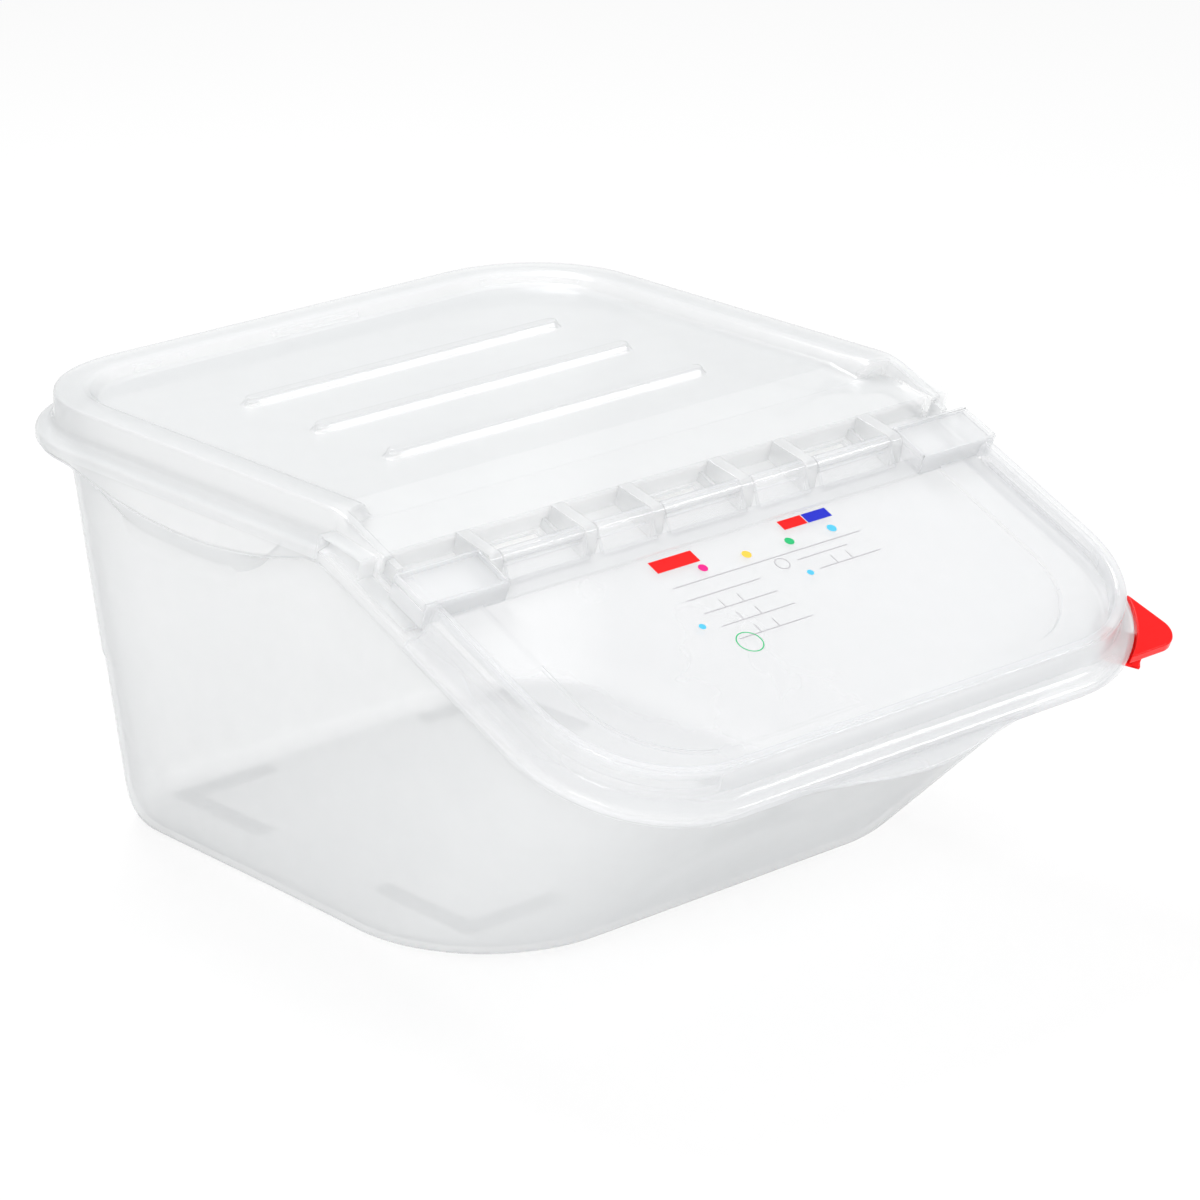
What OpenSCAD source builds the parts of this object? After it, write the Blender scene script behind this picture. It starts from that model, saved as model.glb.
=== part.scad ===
// Rice bin with a flip lid: a hopper-shaped tub, a fixed rear cover, a hinged
// front flap and a small colour clip. The front is -Y, and the tub stands on z = 0.

/* [Lid plan] */
// Width of the lid across its raised ridge
ridge_width = 308; // [260:1:360]
// Length of the level part of the lid, from its rear ridge to the bend
flat_length = 236.4; // [205:0.1:300]
// Length of the sloping part of the lid, from the bend to its front ridge
slope_length = 186.5; // [160:0.1:240]
// Angle of the sloping part below level
slope_angle = 23.4; // [15:0.1:30]
// Radius of the rear corners in plan
rear_radius = 59; // [45:1:75]
// Radius of the front corners in plan
front_radius = 58.5; // [45:0.5:75]
// Height of the level top above the base
height = 200; // [170:1:240]

/* [Lid section] */
// Thickness of the lid's moulded wall
lid_wall = 1.6; // [1.2:0.1:2]
// Height of the ridge's outer wall
ridge_drop = 11; // [9:0.5:14]
// Width that the flange stands out from the ridge
flange_width = 8.6; // [7:0.1:12]
// Depth of the skirt below the flange
skirt_depth = 4; // [3:0.5:7]
// Width of the rear ridge top
ridge_top = 19; // [14:0.5:24]
// Width of the narrow ridge on the slope
narrow_top = 5.3; // [5:0.1:8]
// Depth of the rear panel below the ridge
recess_depth = 5.8; // [4:0.1:8]
// Depth of the flap's shelf below its ridge
shelf_depth = 7.2; // [6:0.1:8]
// Step from the flap's shelf down to its clear panel
panel_step = 1.5; // [1:0.1:1.6]
// Width of the flap's shelf and ridge at the sides
shelf_side = 28; // [20:0.5:36]
// Width of the flap's shelf and ridge at the front
shelf_front = 16.5; // [14:0.5:24]

/* [Rear cover] */
// Distance from the rear ridge to the line where the panel starts to fall
panel_length = 216.5; // [190:0.5:230]
// Number of raised ribs
rib_count = 3; // [1:1:4]
// Distance from the rear ridge to the first rib
rib_start = 87.3; // [70:0.1:100]
// Pitch of the ribs
rib_pitch = 48.5; // [30:0.1:52]
// Length of a rib
rib_length = 177; // [120:1:200]
// Width of a rib
rib_width = 10; // [6:0.5:14]
// Height of a rib above the panel
rib_height = 3.6; // [2:0.1:5]

/* [Hinge] */
// Distance of the hinge axis down the slope from the bend
hinge_place = 47; // [44:0.5:50]
// Depth of the hinge axis below the ridge top
hinge_drop = 2; // [1.5:0.1:3]
// Diameter of the moulded hinge pins
pin_d = 3.8; // [3:0.1:4.4]
// Running clearance round a pin, on the radius
pin_gap = 0.05; // [0.02:0.01:0.1]
// Outer diameter of the knuckles
knuckle_d = 7.4; // [6.6:0.1:8]
// Width of the slot that lets a knuckle snap over its pin
snap_slot = 3; // [2.4:0.1:3.4]
// Gap between a knuckle's end and a cheek
end_gap = 0.5; // [0.3:0.1:1]
// Width of a cheek
cheek_width = 6.5; // [4:0.5:9]
// Width of a hinge station over its cheeks
station_width = 56; // [44:1:60]
// Distance between the middles of two stations
station_pitch = 85.7; // [76:0.1:88]
// Distance of the crease, where the hinge well starts, down the slope from the bend
crease_place = 27; // [20:0.5:31]
// Depth of the hinge well's floor below the ridge top
well_depth = 11; // [10.2:0.1:13]
// Width of the window between the cheeks
window_width = 28; // [16:1:34]
// Length of the window down the slope
window_length = 9; // [5:0.5:11]
// Distance down the slope where the cover ends and the flap's rim begins
split_place = 62; // [58:0.5:68]

/* [Tub] */
// Thickness of the tub's wall
tub_wall = 2.2; // [1.6:0.1:3]
// Half the width of the base, measured at its sharp lower edge
base_half = 134.3; // [110:0.1:142]
// Distance of the base's rear edge in front of the rear ridge
base_rear = 22; // [12:0.5:40]
// Distance of the base's front edge in front of the rear ridge
base_front = 286; // [240:1:320]
// Radius of the base's rear corners in plan
base_rear_radius = 46; // [30:1:60]
// Radius of the base's front corners in plan
base_front_radius = 66; // [40:1:80]
// Reach of the rounded lower edge at the sides and rear
foot_round = 10; // [6:1:20]
// Reach of the rounded lower edge at the front
front_round = 34; // [16:1:44]
// Height of the feet under the floor
foot_height = 2; // [1:0.5:4]
// Width of a foot's arms
foot_width = 8; // [5:0.5:12]
// Length of a foot's arm along the rear and front edges
foot_across = 52; // [30:1:70]
// Length of a foot's arm along the sides
foot_along = 62; // [30:1:80]
// Distance of each foot's outer side from the middle
foot_place = 96; // [60:1:98]
// Height of the stacking shoulder in the rear wall
shoulder_height = 88; // [60:1:120]
// Depth of the stacking shoulder
shoulder_depth = 2.2; // [0:0.1:4]
// Length of each side grip
grip_length = 165; // [100:1:180]
// Distance from the rear ridge to the middle of a side grip
grip_place = 140; // [120:1:150]
// Height of a side grip's front, from the rim's underside
grip_height = 14; // [8:0.5:18]
// Distance that a side grip stands out
grip_out = 7.7; // [4:0.1:9]

/* [Front lip and clip] */
// Width of the lifting lip at the front
lip_width = 140; // [80:1:180]
// Distance that the lifting lip stands out from the flange
lip_out = 9.5; // [5:0.5:14]
// Thickness of the colour clip
clip_thick = 4; // [3:0.1:5]
// Radius of the clip's point
clip_point = 11; // [6:0.5:16]
// Distance from the middle of the flange's corner to the clip's side edge
clip_side = 65.5; // [63:0.5:66.5]
// Distance from the middle of the flange's corner to the clip's front edge
clip_front = 59; // [56:0.5:64]
// Gap between the clip and the flap's skirt, which swings past it
clip_gap = 0.9; // [0.6:0.1:1.2]
// Width of the clip's tongue
tongue_width = 22; // [14:1:30]

/* [Hidden] */
half = ridge_width / 2;
seat_gap = 0.3;
far = 1000;
flange_n = -ridge_drop - 4;
skirt_n = flange_n - 0.5 - skirt_depth;
flange_under = flange_n - lid_wall;
lip_root = slope_length + flange_width - 0.6;
lip_thick = 1.8;
// The lid's rear ridge edge lies this far behind the middle of the object
rear_y = (flat_length + (lip_root + lip_out) * cos(slope_angle)
    + (skirt_n + lip_thick) * sin(slope_angle) - flange_width) / 2;
// Sides in the slope's own frame: y runs up the slope from the bend, z stands off the ridge top
axis_y = -hinge_place;
axis_z = -hinge_drop;
shelf_bottom = -shelf_depth - 1.8;
panel_bottom = shelf_bottom - panel_step;
pin_r = pin_d / 2;
knuckle_r = knuckle_d / 2;
ear_top = 1.2;
ear_wall = 1.8;
ear_rear = axis_y + 5;
ear_front = -split_place - 1.5;
ear_side = half + 3;
ear_inner = station_pitch + station_width / 2 + 0.8;
stub_side = half - 2;
tub_rim_top = -well_depth - 1.8 - 0.5;
tub_o = -4.9;
// Depth of the tub wall's upper edge, at the underside of its flange
wall_top_n = flange_under - 1;
rim_lip_o = flange_width - 2.3;
rim_lip_n = skirt_n - 3;
tongue_n = rim_lip_n - 2.2;
cover_end = split_place - 2;
join = 0.2;
steps = 10;

$fn = 96;

// Moves children to the level part's frame: y = 0 at the rear ridge, z = 0 at the ridge top
module on_top() {
    translate([0, rear_y, height]) children();
}

// Moves children to the sloping part's frame: y = 0 at the bend, z off the ridge top
module on_slope() {
    translate([0, rear_y - flat_length, height]) rotate([slope_angle, 0, 0]) children();
}

// Keeps what lies behind the mitre plane at the bend, in the level part's frame
module behind_bend() {
    intersection() {
        children();
        translate([0, -flat_length, 0]) rotate([slope_angle / 2, 0, 0])
            translate([-far / 2, 0, -far / 2]) cube([far, far, far]);
    }
}

// Keeps what lies in front of the mitre plane at the bend, in the slope's frame
module before_bend() {
    intersection() {
        children();
        rotate([-slope_angle / 2, 0, 0]) translate([-far / 2, -far, -far / 2]) cube([far, far, far]);
    }
}

// A profile carried along both sides from y = start towards the front
module along_sides(profile, start, length) {
    for (side = [0, 1]) {
        mirror([side, 0, 0]) translate([half, start, 0]) rotate([90, 0, 0])
            linear_extrude(length) polygon(profile);
    }
}

// A profile carried round a rounded end whose edge lies on y = 0
module round_end(profile, radius) {
    for (side = [0, 1]) {
        mirror([side, 0, 0]) translate([half - radius, -radius, 0])
            rotate_extrude(angle = 90) translate([radius, 0]) polygon(profile);
    }
    translate([radius - half, 0, 0]) rotate([90, 0, 90])
        linear_extrude(2 * (half - radius)) polygon(profile);
}

// A profile of [y, z] points carried across the object between two x values
module across(profile, from, to) {
    translate([from, 0, 0]) rotate([90, 0, 90]) linear_extrude(to - from) polygon(profile);
}

// A flat plate from y = 0 forwards, with round corners at its rear
module rear_plate(inset, length, low, high, radius) {
    translate([0, 0, low]) linear_extrude(high - low) union() {
        for (side = [-1, 1]) {
            translate([side * (half - inset - radius), -inset - radius]) circle(radius);
        }
        translate([-half + inset + radius, -inset - radius])
            square([2 * (half - inset - radius), radius]);
        translate([-half + inset, -length]) square([2 * (half - inset), length - inset - radius]);
    }
}

// Outer wall, fillet, flange and skirt, shared by both lids: outside points going down
function skirt_outside() = [
    [-1.2, 0],
    [-0.3, -0.4],
    [0, -1.6],
    [0.6, -ridge_drop],
    [1.4, flange_n + 2.2],
    [3, flange_n + 1.1],
    [flange_width - 1.8, flange_n],
    [flange_width - 0.5, flange_n - 0.8],
    [flange_width, flange_n - 2.2],
    [flange_width, skirt_n]
];

// The same wall from inside, going back up
function skirt_inside() = [
    [flange_width - 1.4, skirt_n],
    [flange_width - 1.5, flange_n - 2.4],
    [flange_width - 2.2, flange_under],
    [2.4, flange_under + 1.1],
    [0.6 - lid_wall / 2, flange_under + 3],
    [0.6 - lid_wall, -ridge_drop - 0.5],
    [-lid_wall, -0.6 - lid_wall]
];

function wide_profile() = concat(
    [
        [-ridge_top - 2.5, -recess_depth],
        [-ridge_top, -recess_depth + 0.8],
        [-ridge_top + 3.5, -1.2],
        [-ridge_top + 6, -0.2],
        [-ridge_top + 9, 0]
    ],
    skirt_outside(),
    skirt_inside(),
    [
        [-lid_wall - 0.8, -lid_wall],
        [-ridge_top + 9, -lid_wall],
        [-ridge_top + 6.8, -0.2 - lid_wall],
        [-ridge_top + 4.6, -1.2 - lid_wall],
        [-ridge_top + 1.1, -recess_depth + 0.8 - lid_wall],
        [-ridge_top - 2.5, -recess_depth - lid_wall]
    ]
);

// The narrow ridge of the slope; its inner wall runs down to the given depth
function narrow_profile(depth) = concat(
    [
        [-narrow_top - 0.5, -depth],
        [-narrow_top, -1],
        [-narrow_top + 0.8, -0.2]
    ],
    skirt_outside(),
    skirt_inside(),
    [
        [-lid_wall - 0.6, -lid_wall],
        [-narrow_top + lid_wall, -lid_wall - 0.4],
        [-narrow_top + lid_wall - 0.5, -depth]
    ]
);

// The right half of a rounded rectangle, from its rear edge to its front edge, as [x, s]
// points: s is the distance in front of the rear ridge
function half_ring(w, rear, front, r_rear, r_front, sides) = concat(
    [for (i = [0 : steps]) [w - r_rear + r_rear * sin(90 * i / steps),
        rear + r_rear - r_rear * cos(90 * i / steps)]],
    [for (i = [1 : len(sides) - 2]) [w, rear + r_rear
        + (front - r_front - rear - r_rear) * (sides[i] - sides[0]) / (sides[len(sides) - 1] - sides[0])]],
    [for (i = [0 : steps]) [w - r_front + r_front * cos(90 * i / steps),
        front - r_front + r_front * sin(90 * i / steps)]]
);

// Where the bend lies along the lid at a distance n off the ridge top
function bend_at(n) = flat_length - n * tan(slope_angle / 2);

// The place of a point of the lid plan: s along the bent lid, n off the ridge top
function bent(x, s, n) = s < bend_at(n)
    ? [x, rear_y - s, height + n]
    : [x, rear_y - flat_length - (s - flat_length) * cos(slope_angle) - n * sin(slope_angle),
        height - (s - flat_length) * sin(slope_angle) + n * cos(slope_angle)];

// How much a side grip stands out at a distance s from the rear ridge, from 0 to 1
function grip(x, s) = abs(x) < half - 12 || abs(s - grip_place) > grip_length / 2 ? 0
    : pow(cos(180 * (s - grip_place) / grip_length), 0.7);

// Distances of the side points from the rear ridge, with one of them at the bend
side_count = 15;
side_last = flat_length + slope_length - front_radius;
function side_points(n) = concat(
    [for (i = [0 : side_count - 1]) rear_radius + (bend_at(n) - rear_radius) * i / (side_count - 1)],
    [(side_last + bend_at(n)) / 2, side_last]
);
wall_sides = side_points(wall_top_n);

// A ring round the lid plan, at a distance o outside the ridge's edge and n off its top
function rim_half(o, n) = half_ring(half + o, -o, flat_length + slope_length + o, rear_radius + o,
    front_radius + o, side_points(n));
function rim_ring(o, n) = [for (p = rim_half(o, n)) bent(p[0], p[1], n)];
function base_half_ring(inset, front_inset) = half_ring(base_half - inset, base_rear + inset,
    base_front - front_inset, base_rear_radius - inset, base_front_radius - inset, wall_sides);
function base_ring(inset, front_inset, z) = [for (p = base_half_ring(inset, front_inset))
    [p[0], rear_y - p[1], z]];
function blend(a, b, t) = [for (i = [0 : len(a) - 1]) a[i] + (b[i] - a[i]) * t];
// Moves the rear part of a ring in or out
function shift_rear(a, dy) = [for (p = a) p[1] > rear_y - base_rear - base_rear_radius
    ? p + [0, dy, 0] : p];
// Moves the sides of a ring out and down where the grips are
function gripped(a, plan, out, down) = [for (i = [0 : len(a) - 1])
    let (g = grip(plan[i][0], plan[i][1])) a[i] + [out * g, 0, -down * g]];
// A point on the rounded lower edge, as a curve from the base to the wall
function rounded(base_in, base_edge, wall, t) = [for (i = [0 : len(base_in) - 1])
    base_in[i] * (1 - t) * (1 - t) + base_edge[i] * 2 * t * (1 - t) + wall[i] * t * t];

// The rings of one face of the tub's wall, from the base up to its rim
function wall_rings(inset, floor_z, top_n) =
    let (
        front_inset = inset * 1.4,
        plan = rim_half(tub_o - inset, top_n),
        top = rim_ring(tub_o - inset, top_n),
        edge = base_ring(inset, front_inset, floor_z),
        base_in = base_ring(inset + foot_round, front_inset + front_round, floor_z),
        low = blend(edge, top, 0.1),
        v = (shoulder_height - floor_z) / (height + top_n - floor_z),
        cut = shoulder_depth / 2
    )
    concat(
        [for (t = [0 : 0.25 : 1]) shift_rear(rounded(base_in, edge, low, t), -cut)],
        [
            shift_rear(blend(edge, top, v - 0.012), -cut),
            shift_rear(blend(edge, top, v + 0.012), cut * (1 - v)),
            gripped(blend(edge, top, 0.955), plan, 0, 2 * grip_height),
            gripped(blend(edge, top, 0.983), plan, grip_out, grip_height),
            gripped(top, plan, grip_out, 0)
        ]
    );

// The tub's rim from the outer wall to the inner one: flange, outer lip and low upstand
function rim_rings() = [
    rim_ring(3.4, flange_under - 1.2),
    rim_ring(rim_lip_o - 1.7, flange_under - 2.2),
    rim_ring(rim_lip_o - 1.7, rim_lip_n),
    rim_ring(rim_lip_o, rim_lip_n),
    rim_ring(rim_lip_o, flange_under - 1),
    rim_ring(rim_lip_o - 0.6, flange_under - seat_gap),
    rim_ring(2.3, flange_under + 1.1 - seat_gap),
    rim_ring(tub_o, flange_under + 1.1),
    rim_ring(tub_o, tub_rim_top),
    rim_ring(tub_o - tub_wall, tub_rim_top),
    rim_ring(tub_o - tub_wall, wall_top_n + 1.1)
];

function reversed(a) = [for (i = [len(a) - 1 : -1 : 0]) a[i]];

// Turns rings of right-hand points into a closed body, mirrored about x = 0
module skin(rings) {
    m = len(rings[0]);
    n = 2 * m;
    last = (len(rings) - 1) * n;
    points = [for (r = rings) each concat(r, [for (i = [m - 1 : -1 : 0]) [-r[i][0], r[i][1], r[i][2]]])];
    walls = [for (k = [0 : len(rings) - 2], i = [0 : n - 1])
        let (a = k * n + i, b = k * n + (i + 1) % n)
        each [[a, b + n, a + n], [a, b, b + n]]];
    floor_faces = [for (i = [0 : m - 2]) each [[i, n - 1 - i, i + 1], [i + 1, n - 1 - i, n - 2 - i]]];
    top_faces = [for (f = floor_faces) [f[0] + last, f[2] + last, f[1] + last]];
    polyhedron(points, concat(walls, floor_faces, top_faces));
}

// The lifting lip's outline, standing out from the flange's front edge
function lip_outline(out, edge, root) = concat(
    [for (i = [0 : 24]) [(i / 12 - 1) * lip_width / 2, -edge - out * pow(cos(90 * (i / 12 - 1)), 2)]],
    [[lip_width / 2, -edge + root], [-lip_width / 2, -edge + root]]
);

module tub() {
    color([0.86, 0.87, 0.86, 0.8]) union() {
        skin(concat(
            wall_rings(0, foot_height, wall_top_n),
            rim_rings(),
            reversed(wall_rings(tub_wall, foot_height + tub_wall, wall_top_n + 0.7))
        ));
        on_slope() translate([0, 0, rim_lip_n - 0.8]) linear_extrude(1.8)
            polygon(lip_outline(lip_out - 2, slope_length + rim_lip_o - 0.5, 0.8));
        clip_pocket();
        feet();
    }
}

// The middle of the flange's right front corner, in the slope's frame
module front_corner() {
    on_slope() translate([half - front_radius, -slope_length + front_radius, 0]) children();
}

// A small shelf under the rim's right front corner, which holds the clip's tongue
module clip_pocket() {
    root = front_radius + tub_o - 1.5;
    depth = 9.5;
    front_corner() rotate([0, 0, -45]) {
        translate([root, -tongue_width / 2 - 2, tongue_n - 3.6]) cube([depth, tongue_width + 4, 1.6]);
        for (side = [-1, 1]) {
            translate([root, side * (tongue_width / 2 + 1.2) - 0.8, tongue_n - 3.6])
                cube([depth, 1.6, flange_under - 0.8 - tongue_n + 3.6]);
        }
    }
}

// Four corner feet under the floor, each an L of two arms
module feet() {
    rear_foot = rear_y - base_rear - foot_round - 2;
    front_foot = rear_y - base_front + front_round + 12;
    for (turn = [0, 1]) {
        mirror([turn, 0, 0]) {
            translate([foot_place - foot_across, rear_foot - foot_width, 0])
                cube([foot_across, foot_width, foot_height + 0.5]);
            translate([foot_place - foot_width, rear_foot - foot_along, 0])
                cube([foot_width, foot_along, foot_height + 0.5]);
            translate([foot_place - foot_across, front_foot, 0])
                cube([foot_across, foot_width, foot_height + 0.5]);
            translate([foot_place - foot_width, front_foot, 0])
                cube([foot_width, foot_along, foot_height + 0.5]);
        }
    }
}

module colour_clip() {
    inner = front_radius + flange_width + clip_gap;
    start = 27;
    low = skirt_n - 0.5;
    color([0.9, 0.04, 0.04]) {
        front_corner() difference() {
            translate([0, 0, low]) linear_extrude(clip_thick) union() {
                translate([clip_side - clip_point, clip_point - clip_front]) circle(clip_point);
                polygon([
                    [clip_side, clip_point - clip_front],
                    [clip_side - 2.5, -start],
                    [start, -start],
                    [start, -clip_front],
                    [clip_side - clip_point, -clip_front]
                ]);
            }
            translate([0, 0, low - 1]) cylinder(r = inner, h = clip_thick + 2);
        }
        front_corner() rotate([0, 0, -45]) {
            translate([front_radius + tub_o + 1.2, -tongue_width / 2, tongue_n - 1.8])
                cube([flange_width - tub_o + 4, tongue_width, 1.8]);
            translate([inner + 0.3, -tongue_width / 2, tongue_n - 1.8])
                cube([3.2, tongue_width, low - tongue_n + 2.3]);
        }
    }
}

module rear_cover() {
    color([0.92, 0.94, 0.94, 0.6]) union() {
        on_top() behind_bend() {
            round_end(wide_profile(), rear_radius);
            along_sides(wide_profile(), -rear_radius, flat_length);
            ridge_ends();
        }
        on_top() {
            rear_plate(ridge_top + 2, panel_length, -recess_depth - 1.8, -recess_depth,
                rear_radius - ridge_top - 2);
            ribs();
        }
        falling_panel();
        on_slope() before_bend() cover_slope();
    }
}

// The closed front ends of the wide side ridges
module ridge_ends() {
    end_profile = [
        [-ridge_top - 2.5, -recess_depth - 5],
        [-ridge_top - 2.5, -recess_depth - 0.1],
        [-ridge_top, -recess_depth + 0.8],
        [-ridge_top + 3.5, -1.2],
        [-ridge_top + 6, -0.2],
        [-ridge_top + 9, 0],
        [-lid_wall + 0.5, 0],
        [-lid_wall + 0.5, -recess_depth - 5]
    ];
    along_sides(end_profile, -flat_length + 4, 8);
    along_sides([
        [-ridge_top - 2.5, -recess_depth - 5],
        [-ridge_top - 2.5, -recess_depth - 0.1],
        [-ridge_top + 0.5, -recess_depth - 0.1],
        [-ridge_top + 0.5, -recess_depth - 5]
    ], -panel_length + 3, flat_length - panel_length);
}

// Raised ribs with round ends on the rear panel
module ribs() {
    for (i = [0 : rib_count - 1]) {
        y = -rib_start - i * rib_pitch;
        translate([0, y, -recess_depth - 0.5]) {
            rotate([90, 0, 90]) translate([0, 0, rib_width / 2 - rib_length / 2])
                linear_extrude(rib_length - rib_width) polygon(rib_section());
            for (side = [-1, 1]) {
                translate([side * (rib_length - rib_width) / 2, 0, 0]) rotate_extrude()
                    polygon([for (p = rib_section()) if (p[0] >= 0) p]);
            }
        }
    }
}

function rib_section() = [
    [-rib_width / 2, 0],
    [-rib_width / 2, 0.5],
    [-rib_width / 2 + 1.2, rib_height - 0.4],
    [-rib_width / 2 + 2.6, rib_height + 0.4],
    [0, rib_height + 0.5],
    [rib_width / 2 - 2.6, rib_height + 0.4],
    [rib_width / 2 - 1.2, rib_height - 0.4],
    [rib_width / 2, 0.5],
    [rib_width / 2, 0],
    [0, 0]
];

// A point of the slope's frame, in the level part's frame, as [y, z]
function slope_point(y, z) = [
    -flat_length + y * cos(slope_angle) - z * sin(slope_angle),
    y * sin(slope_angle) + z * cos(slope_angle)
];

// The panel that falls gently from the level floor to the crease
module falling_panel() {
    crease = slope_point(-crease_place, -2);
    reach = half - narrow_top + 0.3;
    on_top() across([
        [-panel_length + 1, -recess_depth],
        [-panel_length, -recess_depth],
        crease,
        crease + [0.4, -1.9],
        [-panel_length, -recess_depth - 1.8],
        [-panel_length + 1, -recess_depth - 1.8]
    ], -reach, reach);
}

// What the cover has below the bend: narrow side ridges, the hinge well and the hinge stations
module cover_slope() {
    floor_front = -split_place + 3.5;
    reach = half - narrow_top + 0.3;
    shoulder = 31;
    stub_front = 38;
    difference() {
        along_sides(narrow_profile(well_depth + 1.8), 20, 20 + cover_end);
        translate([-far / 2, -far - shoulder, -well_depth + 2.4]) cube([far, far, far]);
    }
    for (side = [0, 1]) {
        mirror([side, 0, 0]) translate([half - narrow_top - 0.3, -stub_front, -well_depth - 1])
            cube([stub_side - half + narrow_top + 0.3, stub_front - shoulder + 1, well_depth - 0.5]);
    }
    difference() {
        across([
            [-crease_place + 0.6, -2.2],
            [-crease_place - 1, -2.6],
            [-crease_place - 1.6, -well_depth],
            [floor_front, -well_depth],
            [floor_front, -well_depth - 1.8],
            [-crease_place + 0.6, -well_depth - 1.8]
        ], -reach, reach);
        for (i = [-1 : 1]) {
            translate([i * station_pitch - window_width / 2, -crease_place - 3 - window_length,
                -well_depth - 4]) cube([window_width, window_length, 8]);
        }
    }
    for (i = [-1 : 1]) {
        translate([i * station_pitch, 0, 0]) hinge_station();
    }
}

// Two cheeks, the moulded pin between them, and a small stiffening block at each end of the window
module hinge_station() {
    inner = station_width / 2 - cheek_width;
    cheek = [
        [-crease_place + 0.4, -2.2],
        [axis_y + 3, axis_z + 3.1],
        [axis_y, axis_z + 3.4],
        [axis_y - 2.4, axis_z + 2.4],
        [axis_y - 3.4, axis_z],
        [axis_y - 5, -well_depth + 1],
        [axis_y - 5, -well_depth - 1],
        [-crease_place + 0.4, -well_depth - 1]
    ];
    across(cheek, -inner - cheek_width, -inner);
    across(cheek, inner, inner + cheek_width);
    translate([-inner - 1, axis_y, axis_z]) rotate([0, 90, 0]) cylinder(r = pin_r, h = 2 * inner + 2);
    for (side = [-1, 1]) {
        translate([side * (inner - 3.4) - 1, -crease_place - 11, -well_depth - 1]) cube([2, 10, 5.5]);
    }
}

module flip_lid() {
    color([0.93, 0.95, 0.95, 0.5]) on_slope() {
        difference() {
            union() {
                flap_rim();
                flap_plates();
                lifting_lip();
                ears();
                knuckles();
            }
            for (i = [-1 : 1]) {
                translate([i * station_pitch - station_width / 2, axis_y, axis_z]) rotate([0, 90, 0])
                    cylinder(r = pin_r + pin_gap, h = station_width);
                translate([i * station_pitch - station_width / 2, axis_y, axis_z]) rotate([35, 0, 0])
                    translate([0, -snap_slot / 2, -knuckle_d]) cube([station_width, snap_slot, knuckle_d]);
            }
        }
    }
}

module flap_rim() {
    profile = narrow_profile(shelf_depth + 1.8);
    start = -split_place - 1;
    along_sides(profile, start, slope_length - front_radius + start);
    translate([0, -slope_length, 0]) mirror([0, 1, 0]) round_end(profile, front_radius);
}

// The shelf inside the rim, and the clear panel one step lower
module flap_plates() {
    shelf_edge = narrow_top - 0.2;
    corner = front_radius - shelf_edge;
    back = -split_place + 7.5;
    panel_corner = 46;
    difference() {
        translate([0, -slope_length, 0]) mirror([0, 1, 0])
            rear_plate(shelf_edge, slope_length + back, shelf_bottom, -shelf_depth, corner);
        translate([0, -slope_length, 0]) mirror([0, 1, 0])
            flap_panel(shelf_bottom - 1, 0, panel_corner);
        for (side = [-1, 1]) {
            translate([side * (half - 1) - 9, -split_place - 0.9, -far / 2]) cube([18, 40, far]);
        }
    }
    translate([0, -slope_length, 0]) mirror([0, 1, 0])
        flap_panel(panel_bottom, shelf_bottom + join, panel_corner + 1);
}

module flap_panel(low, high, radius) {
    length = slope_length - split_place - 8;
    translate([0, 0, low]) linear_extrude(high - low) union() {
        for (side = [-1, 1]) {
            translate([side * (half - shelf_side - radius), -shelf_front - radius]) circle(radius);
        }
        translate([-half + shelf_side + radius, -shelf_front - radius])
            square([2 * (half - shelf_side - radius), radius]);
        translate([-half + shelf_side, -length])
            square([2 * (half - shelf_side), length - shelf_front - radius]);
    }
}

module lifting_lip() {
    translate([0, 0, skirt_n]) linear_extrude(lip_thick)
        polygon(lip_outline(lip_out, lip_root, 0.8));
}

// The flap's ears reach over the cover's side channels at the hinge
module ears() {
    for (side = [0, 1]) {
        mirror([side, 0, 0]) {
            translate([ear_inner, ear_front, ear_top - ear_wall])
                cube([ear_side - ear_inner, ear_rear - ear_front, ear_wall]);
            translate([ear_side - ear_wall, ear_front, -10.5])
                cube([ear_wall, ear_rear - ear_front, ear_top + 10.5]);
            translate([ear_inner, ear_front, shelf_bottom])
                cube([ear_side - ear_inner, 1.6, ear_top - shelf_bottom]);
            translate([ear_inner, ear_front, shelf_bottom])
                cube([1.6, 7.9, ear_top - shelf_bottom]);
            translate([ear_inner, ear_rear - 1.5, axis_z - 2])
                cube([ear_side - ear_inner, 1.5, ear_top - axis_z + 2]);
        }
    }
}

// Knuckles round the pins, plain rolled edges between the stations, and the web that joins them
module knuckles() {
    inner = station_width / 2 - cheek_width - end_gap;
    gap = station_pitch - station_width - 2 * end_gap;
    for (i = [-1 : 1]) {
        translate([i * station_pitch - inner, 0, 0]) rolled_edge(2 * inner);
    }
    for (side = [-1, 1]) {
        translate([side * station_pitch / 2 - gap / 2, 0, 0]) rolled_edge(gap);
    }
}

module rolled_edge(length) {
    translate([0, axis_y, axis_z]) rotate([0, 90, 0]) cylinder(r = knuckle_r, h = length);
    across([
        [axis_y - 1.6, axis_z + 2.8],
        [axis_y - 9.5, -shelf_depth],
        [axis_y - 9.5, shelf_bottom],
        [axis_y - 7, shelf_bottom],
        [axis_y - 3.2, axis_z - 1.6]
    ], 0, length);
}

tub();
rear_cover();
flip_lid();
colour_clip();
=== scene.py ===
import math

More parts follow.
